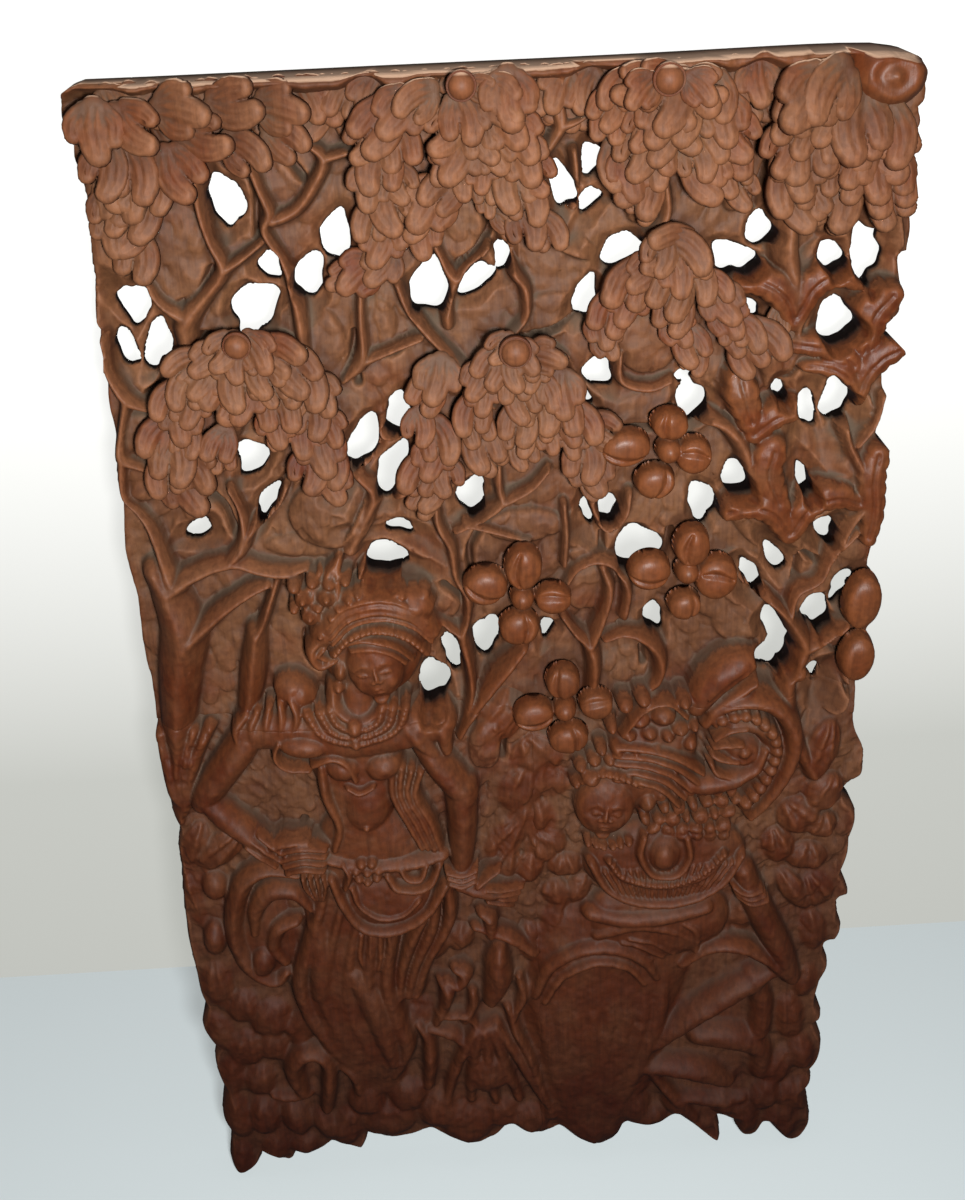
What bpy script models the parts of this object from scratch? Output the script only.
# Carved wall panel: one hardwood plank, pierced and carved in deep relief.
# A pierced tree canopy fills the upper half, two figures stand among foliage and rocks below.
# The carved face looks towards -Y and the flat back lies on the plane y = 0.
# The origin is on the back, under the top edge, where the panel is fixed to a wall.

import math

import bmesh
import bpy
import numpy as np

# Driving dimensions. The design below is drawn in steps of one unit, x to the right from the
# middle of the panel and y down from its top edge; heights are units above the flat back.
PANEL_WIDTH = 0.400                  # metres between the straight stretches of the two sides
DESIGN_WIDTH = 400                   # units across that width
UNIT = PANEL_WIDTH / DESIGN_WIDTH
MOUNT_DROP = 30                      # units from the top edge down to the origin
GRID = 2.5                           # units between two lines of the carving grid
MARGIN = 12                          # units of empty grid around the outline
DESIGN_HEIGHT = 715
TRIANGLES = 9400                     # facets kept in the finished solid

# Thickness of the parts of the relief, in units above the back
UPPER_GROUND = 12                    # recessed foliage between the branches
LOWER_GROUND = 18                    # solid ground behind the figures
FADE_FROM, FADE_TO = 330, 390        # where the one turns into the other, going down
BEDDING = 8                          # forms are rounded down to this height
BLEND = 3                            # width of the fillet where branches meet
PETAL_TOP, FLOWER_BED = 39, 12
FLOWER_HEART = (4.5, 5.5, 38)        # half width, half height, top of a flower's middle
RIM_TOP, RIM_SLOPE = 38, 1.9         # the top edge keeps this height and slopes down to the ground
LEAF_STEP = 19                       # from one row of leaves to the next
LEAF_WIDTH = 15
LEAF_LENGTH = 24
LEAF_SPREAD = 34                     # degrees that the outer leaves of a row lean out
LEAF_RISE = 3.5                      # units a leaf tip stands above its tail


# The outline, clockwise from the top left: each scallop runs from notch to notch: x, y
SCALLOPS = (
    ((-187, 0), (-150, -0.5), (-60, 0), (60, 0), (150, -0.5), (184, 0)),
    ((184, 0), (197, 6), (201.5, 16)),
    ((201.5, 16), (201, 23), (198, 28)),
    ((198, 28), (201, 35), (199.5, 42), (201, 55), (200.5, 68), (203, 84), (203, 97)),
    ((203, 97), (199, 99), (200.5, 110), (203, 119), (201, 126), (194, 132)),
    ((194, 132), (194, 137), (199, 140)),
    ((199, 140), (203, 144), (203, 152), (197, 160)),
    ((197, 160), (198.5, 175), (197, 195)),
    ((197, 195), (202.5, 201), (204, 225), (202.5, 250), (201, 261)),
    ((201, 261), (200, 268), (201, 275)),
    ((201, 275), (206, 284), (207, 297), (201, 313)),
    ((201, 313), (206, 323), (205, 336), (199.5, 345)),
    ((199.5, 345), (200, 372), (204, 394), (204, 407), (199, 412)),
    ((199, 412), (198, 418), (194.5, 423)),
    ((194.5, 423), (203, 434), (204, 445), (200, 456)),
    ((200, 456), (199, 470), (195, 483)),
    ((195, 483), (198, 492), (203, 501)),
    ((203, 501), (194, 502), (197, 516), (201, 527), (198, 536)),
    ((198, 536), (192, 538), (191.5, 547)),
    ((191.5, 547), (198, 557), (192, 569)),
    ((192, 569), (191, 588), (196, 600), (191, 607)),
    ((191, 607), (197.5, 622), (197, 638), (191, 650)),
    ((191, 650), (193.5, 658), (190, 665)),
    ((190, 665), (193, 682), (195, 699), (188, 712), (177, 712), (163, 694)),
    ((163, 694), (157, 705), (146, 705), (140, 690)),
    ((140, 690), (134, 687), (129.5, 686)),
    ((129.5, 686), (132, 698), (133, 711)),
    ((133, 711), (127, 710), (112, 693), (101, 682)),
    ((101, 682), (92, 688), (80, 690), (67, 686)),
    ((67, 686), (61, 699), (48, 706), (33, 699), (21, 686)),
    ((21, 686), (10, 692), (-2, 689), (-11, 681)),
    ((-11, 681), (-21, 692), (-36, 698), (-52, 691), (-66, 681)),
    ((-66, 681), (-78, 686), (-93, 687), (-108, 681)),
    ((-108, 681), (-109, 690), (-112, 697)),
    ((-112, 697), (-121, 693), (-132, 688)),
    ((-132, 688), (-140, 695), (-150, 697), (-157, 695)),
    ((-157, 695), (-159, 701), (-163, 704)),
    ((-163, 704), (-172, 699), (-180, 694)),
    ((-180, 694), (-184, 705), (-191, 712), (-199, 711), (-202, 699), (-200, 684), (-197.5, 673)),
    ((-197.5, 673), (-201.5, 660), (-200, 646), (-197.5, 633)),
    ((-197.5, 633), (-200.5, 617), (-200.5, 605), (-197.5, 597)),
    ((-197.5, 597), (-202, 588), (-204, 577), (-199, 562)),
    ((-199, 562), (-203, 549), (-203.5, 533), (-201, 508), (-200, 475), (-199, 448), (-200, 436),
     (-197.5, 421)),
    ((-197.5, 421), (-202, 408), (-202, 385), (-202, 355), (-199.5, 320)),
    ((-199.5, 320), (-201, 300), (-199.5, 268)),
    ((-199.5, 268), (-202, 240), (-200.5, 212)),
    ((-200.5, 212), (-202, 200), (-199.5, 178), (-200.5, 152), (-199, 130), (-199.5, 119)),
    ((-199.5, 119), (-202, 110), (-199, 84), (-196.5, 55), (-197.5, 45)),
    ((-197.5, 45), (-200.5, 36), (-199, 27)),
    ((-199, 27), (-201.5, 16), (-198, 5), (-187, 0)),
)

# Piercings between the branches: x, y, half width, half height, turn in degrees
PIERCINGS = (
    (-130, 54, 7, 11, -18), (-79.5, 74, 6.5, 10.5, 0), (-94, 92, 6.5, 10.5, 15),
    (-113, 86.5, 4.6, 5.6, -25), (-122, 107, 10, 13, 35), (-180, 102, 6.3, 8, -8),
    (-187, 122.5, 4.2, 10, -15), (-171.5, 122, 5.3, 12.5, 14), (-37, 100, 9, 12, 8),
    (-14, 97.5, 4.6, 9, 48), (-55.5, 164, 5.6, 9.5, 0), (-74.5, 179, 6.3, 13.5, 28),
    (-60, 194, 6, 15.5, 28), (-132, 185, 7, 7.5, 0), (-163.5, 223.5, 6.5, 4, -15),
    (-20, 211.5, 6.5, 9, 25), (-67, 244, 9.8, 6, 5), (-34.5, 306, 3.8, 11.5, -14),
    (-45, 322, 8, 10, -5), (-15, 297, 6.5, 11.5, 14), (29.5, 55, 5, 9.5, -16), (43, 44, 4.2, 7, 5),
    (58, 87, 9.5, 6, -18), (40.5, 110, 5, 9.5, 15), (47, 149, 6.5, 6, 20), (94.5, 165.5, 6.5, 9.5, 0),
    (112.5, 92.5, 10, 6, 14), (124.5, 80, 5, 7.2, 8), (160.5, 94.5, 5.5, 5.5, 0),
    (177.5, 93, 6.2, 12, -6), (165, 126.5, 8, 10.5, 5), (155, 174, 3.4, 9.5, -15),
    (169, 169.5, 5.6, 10, 14), (119, 208.5, 5.3, 7.8, -5), (102.5, 223.5, 6.2, 10.8, -4),
    (52.5, 223.5, 4.2, 5.6, 20), (70, 247, 12, 9, 10), (169.5, 242.5, 3.8, 5, 0),
    (143.5, 258, 4, 8, -30), (131, 267, 3.8, 8.5, -35), (182, 276, 3.6, 9, 30),
    (168.5, 292, 6.4, 8, 0), (148, 302, 4.6, 13, -16), (144.5, 316, 5.6, 8, 30),
    (79, 289.5, 4.5, 6.5, -20),
)

# Tree trunk and the rods behind the left figure: x, y, half width, top
TRUNKS = (
    ((-190, 252, 8, 31), (-185, 268, 11, 33), (-181, 292, 14, 35), (-186, 318, 13, 33),
     (-190, 345, 11, 31), (-194, 380, 7, 28)),
    ((-184, 264, 8, 33), (-172, 256, 6.4, 31), (-158, 250, 5.6, 30), (-146, 248, 5.6, 30),
     (-132, 253, 4.6, 29), (-120, 255, 4.8, 28), (-108, 252, 3, 25)),
    ((-180, 298, 8, 34), (-168, 287, 6.4, 33), (-155, 276, 5.4, 32), (-142, 267, 4.8, 31),
     (-130, 261, 4, 29)),
    ((-124, 257, 3, 27), (-129, 270, 3.2, 29), (-134, 283, 3.6, 30), (-139, 293, 4, 30)),
    ((-140, 292, 6, 31), (-144, 315, 8, 31), (-150, 345, 7, 28)),
)

# Branches and vines, ridged: x, y, half width, top
BRANCHES = (
    ((-142, 42, 4, 29), (-142, 58, 3.5, 28), (-139, 74, 3.6, 28), (-134, 89, 5, 28),
     (-143, 101, 5, 27), (-155, 114, 7.5, 27), (-156, 124, 7, 25)),
    ((-117, 36, 4, 30), (-113, 50, 3.6, 29), (-109, 63, 4.4, 29), (-112, 72, 3.6, 28),
     (-104, 88, 3.4, 28), (-101, 102, 3.8, 28), (-99, 118, 5, 27), (-98, 140, 5, 25)),
    ((-114, 77, 2.6, 26), (-124, 84, 3.2, 27), (-134, 90, 4.5, 28)),
    ((-173, 92, 3, 26), (-166, 104, 3.6, 26), (-155, 113, 6.5, 27)),
    ((-92, 22, 3, 28), (-88, 31, 3.2, 28), (-81, 39, 4.4, 28), (-86, 50, 4.6, 27), (-96, 62, 4.6, 26),
     (-108, 67, 5, 28)),
    ((-64, 35, 2.6, 28), (-81, 39, 4.4, 28)),
    ((-68, 100, 2.6, 27), (-69, 118, 3.2, 27), (-69, 132, 3.8, 27), (-71, 140, 5.4, 26),
     (-80, 148, 3, 24)),
    ((-40, 128, 3, 27), (-54, 133, 3.2, 27), (-70, 139, 5, 26)),
    ((-50, 100, 3, 27), (-46, 112, 3.2, 28), (-38, 124, 3.8, 30), (-27, 137, 3.8, 30),
     (-19, 146, 3.6, 30), (-13, 158, 3, 28), (-4, 166, 2.4, 25)),
    ((-31, 80, 3, 27), (-27, 91, 3.6, 28), (-21, 99, 5, 28), (-12, 92, 3.2, 28), (-5, 84, 2.6, 27)),
    ((-21, 99, 5, 28), (-26, 110, 4.4, 27), (-26, 122, 4, 24)),
    ((-197, 121, 3, 26), (-197, 138, 3, 26), (-190, 153, 5, 27), (-180, 158, 3, 24)),
    ((-190, 153, 4.4, 27), (-195, 170, 3.4, 26), (-197, 184, 5, 27), (-186, 190, 3, 24)),
    ((-197, 184, 5, 27), (-199, 204, 2.8, 26), (-193, 214, 3, 26), (-188, 224, 3.8, 27),
     (-184, 245, 5, 29), (-182, 258, 8, 31)),
    ((-150, 248, 5, 30), (-142, 240, 5.5, 29), (-136, 230, 4, 28), (-127, 222, 3.6, 28),
     (-119, 213, 3, 27), (-115, 205, 2.6, 26)),
    ((-144, 204, 2.6, 26), (-140, 215, 3, 26), (-139, 228, 3.8, 28), (-142, 240, 5, 29)),
    ((-84, 190, 3, 25), (-76, 201, 4, 25), (-69, 212, 5, 25), (-75, 226, 5, 24), (-84, 243, 6, 24)),
    ((-62, 172, 2.6, 26), (-66, 183, 3.2, 26), (-73, 194, 4, 26)),
    ((-48, 178, 2.6, 25), (-58, 180, 3, 25), (-66, 176, 3, 25)),
    ((-69, 212, 5, 25), (-55, 212, 4, 25), (-46, 205, 3, 25)),
    ((-37, 219, 3, 27), (-36, 231, 3.6, 28), (-30, 245, 4, 28), (-28, 262, 3, 27), (-22, 276, 4, 28),
     (-23, 290, 3.2, 27), (-26, 300, 4.6, 28), (-23, 318, 3.8, 28), (-22, 336, 3.6, 28),
     (-26, 352, 3, 27)),
    ((-42, 282, 2.6, 26), (-34, 292, 3.2, 27), (-26, 300, 4.6, 28)),
    ((8, 310, 5, 31), (-3, 325, 6, 32), (-13, 338, 6, 32), (-23, 352, 5, 31), (-30, 364, 4, 28)),
    ((-3, 198, 2.6, 25), (-3, 212, 3.2, 26), (-2, 220, 4.6, 27), (-12, 228, 3.4, 26),
     (-27, 235, 2.6, 25)),
    ((23, 202, 2.6, 26), (14, 212, 3.4, 27), (-1, 220, 4.6, 27)),
    ((-22, 231, 2.4, 25), (-6, 236, 3, 25), (12, 242, 2.4, 24)),
    ((32, 3, 3, 28), (31, 18, 3.6, 28), (31, 29, 5, 28), (22, 42, 4.4, 27)),
    ((20, 9, 2.6, 26), (27, 17, 3, 27), (31, 29, 5, 28)),
    ((48, 20, 2.6, 27), (40, 26, 3.2, 28), (31, 29, 5, 28)),
    ((37, 40, 3, 26), (38, 50, 3, 26), (37, 66, 3.4, 26)),
    ((3, 78, 3, 27), (4, 90, 3.6, 28), (8, 98, 4, 29), (13, 106, 4, 29), (13, 119, 3.6, 28),
     (6, 128, 4, 27)),
    ((81, 56, 3.4, 28), (82, 72, 4.6, 28), (74, 82, 4.4, 27)),
    ((60, 140, 2.4, 24), (61, 155, 3.4, 25), (75, 160, 4, 25), (86, 156, 3, 25)),
    ((30, 290, 3, 28), (37, 301, 3.6, 29), (45, 311, 5.5, 30), (48, 326, 6, 30), (46, 344, 5, 27)),
    ((52, 261, 3.6, 28), (56, 275, 4.6, 30), (53, 291, 4.6, 31), (46, 310, 5.2, 30)),
    ((32, 270, 2.6, 25), (39, 260, 3.2, 26), (51, 257, 3.4, 27), (61, 264, 3.8, 28), (66, 277, 4, 28),
     (64, 292, 4.4, 26)),
    ((53, 306, 2.6, 26), (65, 303, 3.6, 27), (77, 309, 5, 28), (85, 321, 5.6, 28), (84, 334, 5, 27),
     (74, 343, 4, 25)),
    ((52, 214, 2.6, 25), (46, 222, 3, 26), (50, 232, 3.6, 27), (56, 238, 5, 27), (64, 230, 3.4, 26),
     (66, 218, 3, 25)),
    ((31, 222, 2.6, 25), (32, 240, 3, 26), (31, 258, 3, 26)),
    ((132, 276, 3, 27), (141, 284, 3.6, 28), (151, 293, 4, 29), (160, 305, 5.4, 30),
     (167, 320, 7.5, 31), (160, 338, 8, 31), (160, 360, 8, 30), (168, 385, 7, 29), (178, 405, 7, 28)),
    ((190, 305, 3, 28), (182, 312, 4, 29), (168, 320, 7, 31)),
    ((190, 248, 3, 27), (178, 262, 3.6, 27), (172, 276, 4, 27), (160, 283, 3.6, 27), (157, 298, 4, 28)),
    ((178, 168, 4, 28), (178, 182, 3.6, 28), (182, 197, 3.6, 28), (190, 212, 5, 29), (195, 228, 5, 29),
     (187, 242, 4, 28), (182, 254, 3, 27)),
    ((197, 170, 2.6, 26), (194, 185, 3, 26), (186, 197, 3, 27)),
    ((98, 178, 4, 28), (112, 181, 5, 29), (123, 191, 6, 30), (129, 206, 5.4, 29), (125, 219, 4, 26)),
    ((143, 76, 7, 30), (143, 94, 8.5, 30), (147, 110, 7, 30), (150, 130, 5, 28), (148, 140, 4, 26)),
)

# Curled tongues of the acanthus sprays: x, y, half width, top
SPRAYS = (
    ((117, 108, 4, 27), (130, 107, 7, 31), (142, 115, 7, 32), (148, 128, 5, 29)),
    ((180, 110, 4, 27), (167, 105, 7, 31), (156, 111, 7, 32), (149, 126, 5, 29)),
    ((197, 117, 6, 30), (188, 126, 9, 32), (186, 138, 7, 30), (186, 150, 4, 28)),
    ((146, 142, 4, 28), (159, 144, 7, 32), (172, 150, 7, 32), (182, 164, 5, 30)),
    ((200, 146, 7, 32), (192, 151, 8, 32), (183, 164, 5, 30)),
    ((121, 153, 5, 30), (124, 166, 8, 33), (129, 181, 6, 31)),
    ((152, 176, 5, 30), (141, 179, 6.5, 32), (131, 188, 5, 30)),
    ((141, 197, 8, 33), (139, 211, 8, 33), (146, 228, 6, 31), (150, 242, 4, 28)),
    ((119, 233, 4, 28), (130, 229, 7, 32), (143, 233, 7, 32), (153, 247, 5, 29)),
    ((190, 231, 4, 28), (177, 226, 7, 32), (163, 231, 7, 32), (155, 246, 5, 29)),
    ((198, 203, 6, 30), (196, 216, 7, 31), (198, 236, 6, 30), (197, 252, 4, 28)),
    ((164, 335, 6, 31), (150, 332, 5, 29)),
)

# Leaf clusters: a round boss (x, y, radius, top) or None, then its hanging tails: x, y, half width, top
CLUSTERS = (
    (None, (
        ((-188, 18, 14, 40), (-165, 16, 18, 43), (-150, 22, 12, 38)),
        ((-152, 14, 12, 38), (-128, 14, 12, 37), (-105, 14, 11, 36), (-88, 13, 8, 33)),
        ((-145, 33, 10, 38), (-128, 33, 9, 37), (-105, 27, 7, 34), (-93, 25, 4, 30)),
        ((-188, 36, 12, 38), (-190, 60, 9, 34), (-190, 85, 9, 31), (-195, 112, 6, 28)),
        ((-168, 38, 14, 38), (-170, 55, 9, 34), (-176, 75, 8, 32), (-180, 92, 5, 28)),
    )),
    ((-15, 8, 6, 45), (
        ((-30, 9, 7, 41), (-48, 20, 11, 40), (-53, 42, 15, 38), (-54, 65, 13, 35), (-62, 86, 13, 32), (-82, 97, 5, 28)),
        ((-15, 14, 9, 42), (-15, 32, 11, 40), (-22, 50, 12, 37), (-36, 64, 9, 34), (-34, 80, 7, 31)),
        ((-2, 10, 6, 41), (10, 14, 5, 37)),
        ((-2, 18, 9, 41), (8, 36, 11, 39), (14, 54, 12, 37), (22, 70, 12, 34), (36, 84, 9, 31), (46, 90, 5, 28)),
        ((-6, 34, 8, 39), (-6, 54, 6, 36), (3, 78, 5, 31)),
    )),
    ((81, 8, 7, 44), (
        ((72, 8, 8, 42), (58, 13, 9, 39), (52, 30, 8, 37), (54, 48, 9, 35), (48, 68, 8, 30)),
        ((80, 18, 11, 42), (70, 38, 12, 39), (70, 60, 11, 36), (68, 72, 6, 32)),
        ((90, 12, 9, 42), (104, 16, 9, 39), (108, 32, 10, 37), (112, 52, 10, 34), (114, 68, 6, 29)),
        ((88, 24, 10, 40), (93, 42, 11, 38), (96, 58, 8, 35)),
    )),
    ((186, 14, 14, 44), (
        ((170, 10, 12, 42), (154, 12, 11, 41), (145, 30, 13, 39), (142, 50, 14, 36), (142, 74, 10, 32)),
        ((170, 24, 12, 41), (166, 42, 13, 38), (163, 62, 11, 34), (160, 80, 7, 29)),
        ((186, 30, 14, 40), (188, 50, 13, 37), (190, 70, 11, 34), (196, 92, 7, 29)),
    )),
    ((-131, 126, 6, 44), (
        ((-140, 128, 7, 41), (-156, 142, 11, 39), (-165, 165, 14, 37), (-168, 190, 12, 34), (-163, 214, 6, 29)),
        ((-131, 136, 8, 41), (-134, 156, 11, 39), (-143, 176, 9, 36), (-147, 192, 5, 31)),
        ((-122, 132, 7, 41), (-116, 150, 8, 39), (-116, 168, 8, 36), (-117, 184, 4, 31)),
        ((-118, 127, 7, 41), (-104, 137, 10, 39), (-97, 158, 14, 37), (-94, 182, 14, 34), (-92, 206, 10, 30)),
    )),
    ((7, 136, 7, 44), (
        ((-34, 148, 10, 36), (-40, 168, 10, 35), (-36, 188, 13, 34), (-40, 208, 9, 30), (-46, 220, 5, 27)),
        ((-2, 136, 7, 41), (-10, 150, 8, 39), (-14, 170, 9, 36), (-11, 190, 9, 34), (-8, 207, 6, 29)),
        ((7, 146, 7, 41), (8, 166, 8, 38), (8, 186, 8, 35), (9, 196, 5, 31)),
        ((14, 138, 7, 41), (28, 146, 9, 39), (33, 164, 12, 37), (41, 184, 11, 34), (44, 204, 9, 31), (48, 217, 5, 28)),
        ((18, 150, 7, 40), (21, 170, 8, 37), (24, 190, 7, 33)),
    )),
    (None, (
        ((84, 88, 10, 36), (70, 96, 11, 36), (58, 110, 11, 34), (50, 126, 9, 31), (55, 140, 7, 28)),
        ((86, 90, 11, 38), (88, 106, 9, 37), (88, 124, 8, 35), (96, 136, 8, 33), (101, 150, 5, 30)),
        ((90, 90, 9, 36), (102, 104, 9, 36), (112, 118, 8, 35), (119, 136, 7, 32)),
        ((116, 124, 9, 31), (128, 136, 12, 32), (138, 150, 10, 30), (138, 160, 5, 26)),
        ((140, 130, 6, 30), (144, 145, 5, 28)),
    )),
)

# Puffed flowers: x, y, then each petal as offset x, offset y, half width, half height
FLOWERS = (
    (87, 196, ((0, -15, 10, 8.5), (-23, -3, 13.5, 10), (13, 3, 10, 10), (-7, 17, 11, 9.5))),
    (99, 268, ((2, -16, 10, 12), (-21, -2, 12, 11), (16, 4, 12, 13), (-2, 21, 10.5, 10.5))),
    (8, 279, ((1, -19, 10.5, 13), (-20, -9, 12.5, 11), (17, 1, 10.5, 8.5), (-2, 18, 11.5, 10.5))),
    (31, 353, ((-1, -19, 10, 10.5), (-18, 2, 12, 10), (18, -3, 10, 9), (2, 19, 12, 9.5))),
)

# Petals and a bud that stand alone: x, y, half width, half height
LONE_PETALS = (
    (196, 292, 10.5, 17), (196, 328, 10, 15), (127, 333, 16, 9.5),
)

# Limbs, bands and folds of the two figures, then the rocks at the foot: x, y, half width, top
FORMS = (
    ((-110, 300, 7, 37), (-97, 286, 10, 41), (-75, 279, 12, 43), (-55, 284, 10, 42), (-42, 295, 6, 37)),
    ((-84, 241, 3, 27), (-90, 256, 8, 33), (-88, 270, 12, 38)),
    ((-108, 276, 8, 33), (-103, 290, 9, 36), (-104, 306, 7, 34)),
    ((-152, 350, 9, 36), (-125, 358, 11, 39), (-95, 362, 12, 41), (-70, 360, 11, 40), (-42, 356, 9, 37)),
    ((-155, 362, 11, 35), (-168, 381, 11, 36), (-184, 401, 9, 33)),
    ((-184, 403, 9, 33), (-168, 420, 11, 36), (-150, 438, 9, 38)),
    ((-148, 443, 9, 41), (-130, 445, 10, 43), (-116, 447, 8, 42)),
    ((-124, 450, 7, 41), (-121, 462, 6, 40), (-119, 472, 4, 36)),
    ((-52, 372, 11, 38), (-42, 388, 11, 40), (-33, 408, 12, 41)),
    ((-33, 408, 12, 41), (-33, 438, 9.5, 39), (-34, 466, 8, 36)),
    ((-34, 472, 8, 38), (-24, 480, 8, 40), (-8, 484, 6, 36), (6, 482, 3, 31)),
    ((-92, 390, 28, 36), (-88, 425, 26, 36), (-84, 450, 36, 38)),
    ((-118, 452, 6, 39), (-90, 459, 9, 43), (-62, 462, 9, 43), (-46, 468, 6, 39)),
    ((-112, 462, 4, 40), (-104, 488, 4, 42), (-88, 502, 5, 43), (-68, 503, 5, 43), (-50, 488, 4, 42),
     (-42, 468, 4, 39)),
    ((-80, 480, 30, 42), (-80, 484, 26, 42)),
    ((-116, 500, 16, 33), (-116, 560, 28, 35), (-110, 610, 26, 34), (-100, 640, 14, 27)),
    ((-112, 515, 9, 40), (-100, 555, 11, 42), (-90, 595, 10, 42), (-88, 622, 7, 38)),
    ((-142, 462, 7, 35), (-162, 466, 9, 36), (-176, 484, 9, 35), (-179, 508, 9, 34),
     (-170, 532, 9, 34), (-156, 545, 8, 32)),
    ((-152, 485, 16, 31), (-158, 510, 20, 31), (-160, 530, 14, 30)),
    ((-152, 622, 8, 33), (-148, 610, 8, 36), (-134, 606, 8, 38), (-127, 622, 7, 38), (-130, 655, 7, 36)),
    ((-190, 430, 8, 28), (-186, 462, 9, 28), (-190, 500, 8, 27), (-192, 560, 9, 27)),
    ((-60, 500, 12, 32), (-58, 540, 14, 34), (-62, 590, 12, 33), (-60, 640, 10, 30)),
    ((-46, 548, 7, 37), (-50, 570, 9, 39), (-55, 590, 6, 36)),
    ((-15, 500, 9, 36), (-18, 512, 9, 37), (-12, 540, 11, 40), (-16, 560, 10, 38)),
    ((-40, 510, 8, 34), (-36, 530, 6, 34), (-30, 560, 6, 33)),
    ((-30, 595, 8, 34), (-25, 620, 14, 36), (-22, 650, 16, 34)),
    ((-55, 600, 5, 31), (-40, 592, 6, 33), (-28, 588, 5, 34)),
    ((70, 366, 10, 38), (84, 360, 13, 40), (98, 368, 9, 38)),
    ((60, 380, 6, 37), (80, 386, 7, 40), (104, 398, 8, 41)),
    ((58, 393, 6, 37), (78, 400, 7, 40), (98, 410, 8, 41)),
    ((112, 364, 6, 36), (130, 356, 7, 38), (150, 358, 7, 39), (164, 374, 8, 40), (165, 396, 8, 39),
     (157, 418, 7, 38), (146, 434, 5, 35)),
    ((105, 400, 16, 38), (125, 412, 18, 39), (140, 395, 13, 38), (143, 375, 10, 36)),
    ((92, 420, 15, 38), (100, 440, 16, 37)),
    ((46, 458, 8, 37), (58, 480, 9, 39), (85, 492, 9, 40), (115, 486, 9, 39), (138, 464, 8, 37)),
    ((70, 462, 22, 37), (92, 462, 28, 38), (115, 458, 22, 37)),
    ((92, 450, 7, 41), (92, 462, 9, 43)),
    ((60, 510, 20, 33), (90, 515, 26, 35), (110, 520, 20, 34)),
    ((48, 498, 8, 36), (75, 508, 8, 39), (100, 508, 8, 38), (128, 500, 8, 37)),
    ((140, 488, 9, 36), (152, 510, 10, 38), (166, 540, 10, 38), (176, 566, 8, 35)),
    ((8, 560, 6, 34), (22, 540, 8, 38), (48, 530, 9, 40), (74, 535, 8, 39), (88, 546, 6, 36)),
    ((108, 536, 6, 36), (130, 534, 8, 39), (152, 542, 9, 40), (170, 558, 7, 38)),
    ((48, 560, 30, 33), (55, 600, 30, 34), (55, 650, 26, 33), (50, 688, 14, 29)),
    ((20, 560, 7, 36), (30, 600, 8, 37), (36, 650, 8, 36), (44, 690, 8, 32)),
    ((66, 560, 7, 37), (70, 600, 8, 38), (64, 650, 8, 36), (60, 690, 7, 31)),
    ((92, 615, 8, 37), (112, 599, 10, 41), (140, 579, 10, 41), (164, 562, 8, 38)),
    ((84, 640, 10, 37), (110, 645, 17, 40), (134, 650, 12, 37)),
    ((120, 608, 12, 36), (148, 620, 13, 37), (160, 645, 12, 34)),
    ((82, 626, 6, 37), (92, 655, 7, 37), (110, 684, 8, 34), (130, 707, 4, 28)),
    ((140, 668, 12, 33), (160, 680, 14, 32), (182, 700, 12, 28)),
    ((185, 520, 8, 28), (182, 560, 8, 29), (184, 610, 9, 29), (184, 650, 9, 28), (186, 690, 10, 26)),
    ((182, 430, 8, 30), (184, 452, 8, 30)),
    ((-10, 600, 8, 30), (-5, 640, 9, 31), (8, 676, 10, 28)),
    ((-192, 640, 9, 27), (-192, 700, 9, 24)),
    ((-170, 650, 14, 30), (-168, 690, 9, 24)),
    ((-150, 660, 12, 30), (-150, 686, 8, 24)),
    ((-122, 668, 10, 28), (-116, 690, 4, 22)),
    ((-105, 660, 14, 30), (-87, 672, 12, 28), (-72, 662, 12, 29)),
    ((-52, 668, 14, 30), (-36, 684, 12, 27), (-22, 672, 12, 28)),
    ((2, 676, 12, 27), (12, 684, 7, 24)),
    ((48, 690, 16, 28), (48, 696, 9, 26)),
    ((84, 678, 12, 27), (84, 684, 6, 24)),
    ((150, 690, 9, 26), (151, 700, 6, 23)),
)

# Heads, rosettes and knots: x, y, half width, half height, turn, top
DOMES = (
    (-74, 313, 19, 24, -12, 44), (-94, 320, 6, 10, 0, 37), (-69, 267, 9, 9, 0, 45),
    (-98, 277, 12, 13, 0, 38), (52, 424, 21, 24, 8, 44), (-90, 355, 6, 8, 0, 43),
    (-120, 372, 12, 8, 0, 42), (-165, 505, 18, 30, -10, 29),
)


def smooth_path(points, step=2.0):
    """Points along a Catmull-Rom curve through the given rows, which may have any number of columns."""
    p = np.asarray(points, float)
    q = np.vstack([2 * p[0] - p[1], p, 2 * p[-1] - p[-2]])
    path = []
    for a, b, c, d in zip(q[:-3], q[1:-2], q[2:-1], q[3:]):
        count = max(2, int(math.dist(b[:2], c[:2]) / step) + 1)
        t = np.linspace(0, 1, count, endpoint=False)[:, None]
        path.append(0.5 * (2 * b + (c - a) * t + (2 * a - 5 * b + 4 * c - d) * t ** 2
                           + (3 * b - 3 * c + d - a) * t ** 3))
    path.append(p[-1:])
    return np.vstack(path)


def outline():
    """The closed outline, with a sharp notch between one scallop and the next."""
    return np.vstack([smooth_path(scallop)[:-1] for scallop in SCALLOPS])


def distance_inside(x, y, polygon):
    """Distance to a closed polygon, positive inside it."""
    nearest = np.full(x.shape, 1e9)
    inside = np.zeros(x.shape, bool)
    for (ax, ay), (bx, by) in zip(polygon, np.roll(polygon, -1, axis=0)):
        ex, ey = bx - ax, by - ay
        along = np.clip(((x - ax) * ex + (y - ay) * ey) / (ex * ex + ey * ey + 1e-12), 0, 1)
        nearest = np.minimum(nearest, (x - ax - along * ex) ** 2 + (y - ay - along * ey) ** 2)
        if ay != by:
            inside ^= ((ay > y) != (by > y)) & (x < ex * (y - ay) / ey + ax)
    return np.where(inside, 1, -1) * np.sqrt(nearest)


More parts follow.
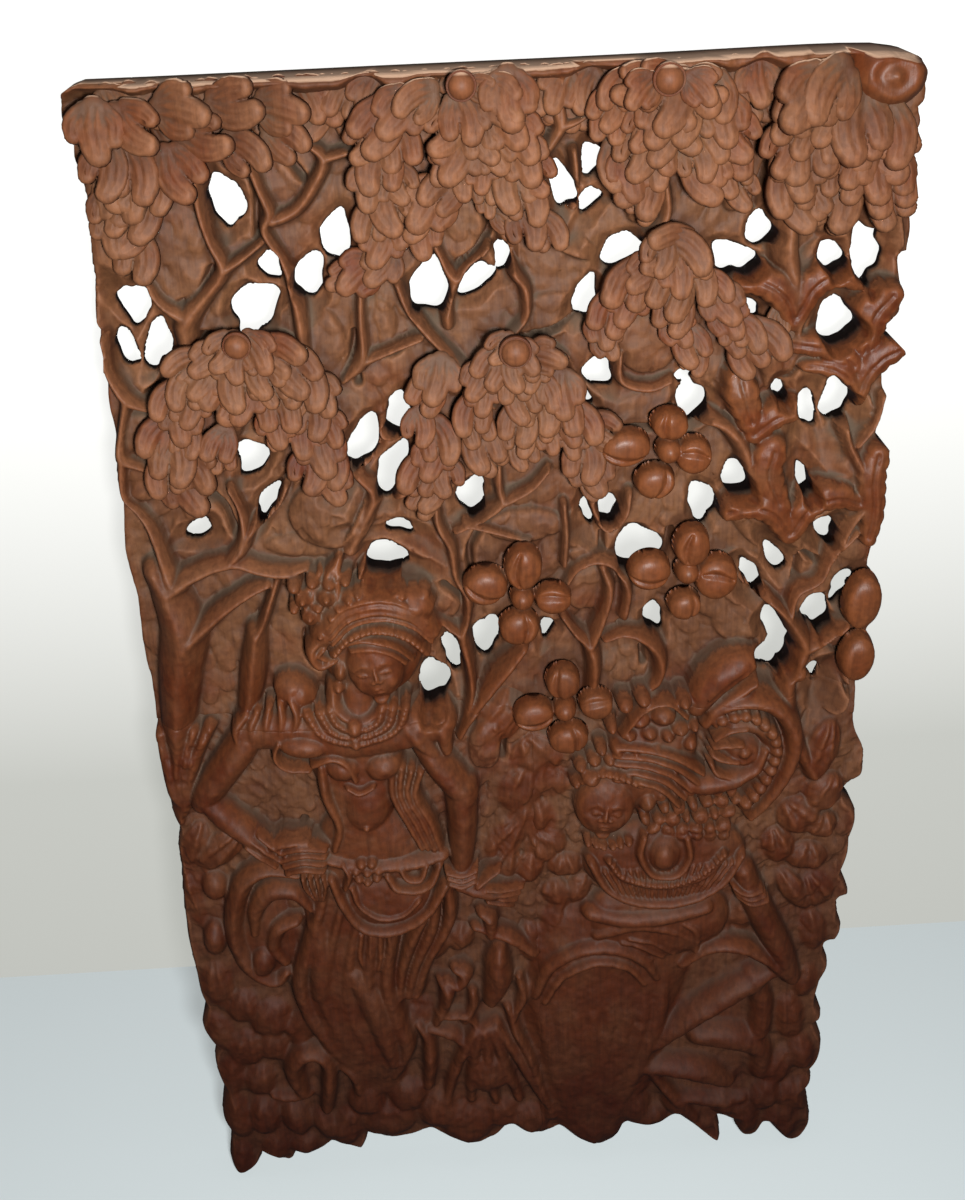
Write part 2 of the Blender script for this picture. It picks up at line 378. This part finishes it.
def turned(x, y, centre_x, centre_y, degrees):
    """Coordinates seen from a centre, turned clockwise."""
    c, s = math.cos(math.radians(degrees)), math.sin(math.radians(degrees))
    return (x - centre_x) * c + (y - centre_y) * s, (y - centre_y) * c - (x - centre_x) * s


def distance_outside(x, y, piercing):
    """Rough distance to the rim of a piercing, positive outside it."""
    centre_x, centre_y, half_width, half_height, turn = piercing
    u, v = turned(x, y, centre_x, centre_y, turn)
    roundness = 2.4
    r = (np.abs(u / half_width) ** roundness + np.abs(v / half_height) ** roundness) ** (1 / roundness)
    return (r - 1) * min(half_width, half_height)


def wood_distance(x, y):
    """Distance to the nearest edge of the wood, positive on the wood."""
    wood = distance_inside(x, y, outline())
    for piercing in PIERCINGS:
        wood = np.minimum(wood, distance_outside(x, y, piercing))
    return wood


class Relief:
    """Heights of the carved face on a regular grid."""

    def __init__(self):
        half = DESIGN_WIDTH / 2 + MARGIN
        self.xs = np.arange(-half, half + GRID, GRID)
        self.ys = np.arange(-MARGIN, DESIGN_HEIGHT + MARGIN, GRID)
        self.x, self.y = np.meshgrid(self.xs, self.ys)
        fade = np.clip((self.y - FADE_FROM) / (FADE_TO - FADE_FROM), 0, 1)
        ground = UPPER_GROUND + (LOWER_GROUND - UPPER_GROUND) * fade
        self.height = np.maximum(ground, RIM_TOP - RIM_SLOPE * np.maximum(self.y, 0))

    def window(self, low_x, high_x, low_y, high_y):
        columns = slice(*np.searchsorted(self.xs, (low_x, high_x)))
        rows = slice(*np.searchsorted(self.ys, (low_y, high_y)))
        return rows, columns

    def stroke(self, points, roundness=2.0, blend=0.0):
        """Lays a tapering rounded bar along a path of x, y, half width, top."""
        path = smooth_path(points)
        reach = path[:, 2].max() + 2 * blend + GRID
        area = self.window(path[:, 0].min() - reach, path[:, 0].max() + reach,
                           path[:, 1].min() - reach, path[:, 1].max() + reach)
        x, y = self.x[area], self.y[area]
        bar = np.full(x.shape, -1e3)
        for p, q in zip(path[:-1], path[1:]):
            ex, ey = q[0] - p[0], q[1] - p[1]
            t = np.clip(((x - p[0]) * ex + (y - p[1]) * ey) / (ex * ex + ey * ey + 1e-9), 0, 1)
            away = np.hypot(x - p[0] - t * ex, y - p[1] - t * ey) / (p[2] + (q[2] - p[2]) * t)
            top = p[3] + (q[3] - p[3]) * t
            section = (1 - np.minimum(away, 1) ** roundness) ** (1 / roundness)
            bar = np.maximum(bar, np.where(away < 1, BEDDING + (top - BEDDING) * section, -1e3))
        old = self.height[area]
        new = np.maximum(old, bar)
        if blend:
            new += np.maximum(blend - np.abs(old - bar), 0) ** 2 / (4 * blend)
        self.height[area] = new

    def dome(self, centre_x, centre_y, half_width, half_height, turn, top, base=FLOWER_BED):
        reach = max(half_width, half_height) + GRID
        area = self.window(centre_x - reach, centre_x + reach, centre_y - reach, centre_y + reach)
        u, v = turned(self.x[area], self.y[area], centre_x, centre_y, turn)
        away = np.hypot(u / half_width, v / half_height)
        ball = np.where(away < 1, base + (top - base) * np.sqrt(1 - np.minimum(away, 1) ** 2), -1e3)
        self.height[area] = np.maximum(self.height[area], ball)

    def leaves(self, tail):
        """Shingled rows of leaves down one tail of a cluster, the outer ones leaning out."""
        path = smooth_path(tail, 1.0)
        run = np.r_[0, np.cumsum(np.hypot(*np.diff(path[:, :2], axis=0).T))]
        for row, at in enumerate(np.arange(0, run[-1], LEAF_STEP)):
            x, y, half_width, top = (np.interp(at, run, path[:, k]) for k in range(4))
            ahead = [np.interp(at + 1, run, path[:, k]) - np.interp(at - 1, run, path[:, k]) for k in (0, 1)]
            heading = math.atan2(ahead[0], ahead[1])
            count = max(1, round(2 * half_width / LEAF_WIDTH))
            for k in range(count):
                side = 0 if count == 1 else 2 * k / (count - 1) - 1
                shift = side * (half_width - LEAF_WIDTH / 4)
                lean = heading + math.radians(LEAF_SPREAD) * side
                leaf_x = x + shift * math.cos(heading) + math.sin(lean) * LEAF_LENGTH / 2
                leaf_y = y - shift * math.sin(heading) + math.cos(lean) * LEAF_LENGTH / 2
                self.dome(leaf_x, leaf_y, LEAF_WIDTH / 2, LEAF_LENGTH / 2, -math.degrees(lean),
                          top + LEAF_RISE - abs(side) * LEAF_RISE, base=UPPER_GROUND)


def carve():
    relief = Relief()
    for trunk in TRUNKS:
        relief.stroke(trunk, roundness=1.8, blend=BLEND)
    for branch in BRANCHES:
        relief.stroke(branch, roundness=1.3, blend=BLEND)
    for tongue in SPRAYS:
        relief.stroke(tongue, roundness=2.2)
    for boss, tails in CLUSTERS:
        for tail in tails:
            relief.stroke(tail, roundness=2.5)
            relief.leaves(tail)
        if boss:
            x, y, radius, top = boss
            relief.dome(x, y, radius, radius, 0, top, base=top - radius)
    for x, y, petals in FLOWERS:
        for dx, dy, half_width, half_height in petals:
            relief.dome(x + dx, y + dy, half_width, half_height, 0, PETAL_TOP)
        relief.dome(x, y, FLOWER_HEART[0], FLOWER_HEART[1], 0, FLOWER_HEART[2])
    for x, y, half_width, half_height in LONE_PETALS:
        relief.dome(x, y, half_width, half_height, 0, PETAL_TOP)
    for form in FORMS:
        relief.stroke(form)
    for dome in DOMES:
        relief.dome(*dome)
    return relief


def fit_edge(relief):
    """Moves the grid points nearest to the edge of the wood onto it; returns which points are wood."""
    x, y = relief.x, relief.y
    wood = wood_distance(x, y)
    near = np.abs(wood) < 0.5 * GRID
    slope_y, slope_x = np.gradient(wood, GRID)
    steep = np.maximum(slope_x ** 2 + slope_y ** 2, 0.25)
    x[near] -= (wood * slope_x / steep)[near]
    y[near] -= (wood * slope_y / steep)[near]
    return (wood > 0) | near


def faces_on(wood):
    """Quads of the grid that lie on wood, and a triangle where only three corners do."""
    rows, columns = wood.shape
    number = np.arange(rows * columns).reshape(rows, columns)
    corners = np.stack([number[:-1, :-1], number[:-1, 1:], number[1:, 1:], number[1:, :-1]], -1).reshape(-1, 4)
    held = wood.ravel()[corners]
    faces = [tuple(c) for c in corners[held.all(1)]]
    partial = held.sum(1) == 3
    faces += [tuple(c[h]) for c, h in zip(corners[partial], held[partial])]
    return faces


def pinched(faces):
    """Points where two corners of the wood only touch, with four open edges."""
    open_edges = {}
    for face in faces:
        for a, b in zip(face, face[1:] + face[:1]):
            key = (min(a, b), max(a, b))
            open_edges[key] = open_edges.get(key, 0) + 1
    ends = {}
    for (a, b), uses in open_edges.items():
        if uses == 1:
            ends[a] = ends.get(a, 0) + 1
            ends[b] = ends.get(b, 0) + 1
    return [point for point, count in ends.items() if count > 2]


def panel_mesh(relief):
    """The closed solid: carved front, walls around the outline and each piercing, flat back."""
    wood = fit_edge(relief)
    faces = faces_on(wood)
    while pinched(faces):
        wood.ravel()[pinched(faces)] = False
        faces = faces_on(wood)
    x, y, height = relief.x.ravel(), relief.y.ravel(), relief.height.ravel()
    bm = bmesh.new()
    vertex = {}
    for face in faces:
        for k in face:
            if k not in vertex:
                vertex[k] = bm.verts.new((x[k] * UNIT, -height[k] * UNIT, (MOUNT_DROP - y[k]) * UNIT))
    for face in faces:
        bm.faces.new([vertex[k] for k in face])
    extruded = bmesh.ops.extrude_face_region(bm, geom=bm.faces[:])
    for item in extruded["geom"]:
        if isinstance(item, bmesh.types.BMVert):
            item.co.y = 0
    bmesh.ops.recalc_face_normals(bm, faces=bm.faces[:])
    bmesh.ops.triangulate(bm, faces=bm.faces[:])
    mesh = bpy.data.meshes.new("carved_panel")
    bm.to_mesh(mesh)
    bm.free()
    return mesh


def wood_material():
    material = bpy.data.materials.new("carved_wood")
    material.use_nodes = True
    shader = material.node_tree.nodes["Principled BSDF"]
    shader.inputs["Base Color"].default_value = (0.22, 0.085, 0.04, 1)
    shader.inputs["Roughness"].default_value = 0.45
    shader.inputs["Metallic"].default_value = 0.0
    return material


def faceted(panel):
    """Reduces the panel to its facet budget and lays the back exactly flat again."""
    reduce = panel.modifiers.new("Facets", "DECIMATE")
    reduce.ratio = TRIANGLES / len(panel.data.polygons)
    reduce.use_collapse_triangulate = True
    bpy.context.view_layer.update()
    mesh = bpy.data.meshes.new_from_object(panel.evaluated_get(bpy.context.evaluated_depsgraph_get()))
    panel.modifiers.clear()
    panel.data = mesh
    back = 0.001
    for v in mesh.vertices:
        if abs(v.co.y) < back:
            v.co.y = 0


for thing in list(bpy.data.objects):
    bpy.data.objects.remove(thing, do_unlink=True)

panel = bpy.data.objects.new("carved_panel", panel_mesh(carve()))
bpy.context.scene.collection.objects.link(panel)
panel.data.materials.append(wood_material())
faceted(panel)
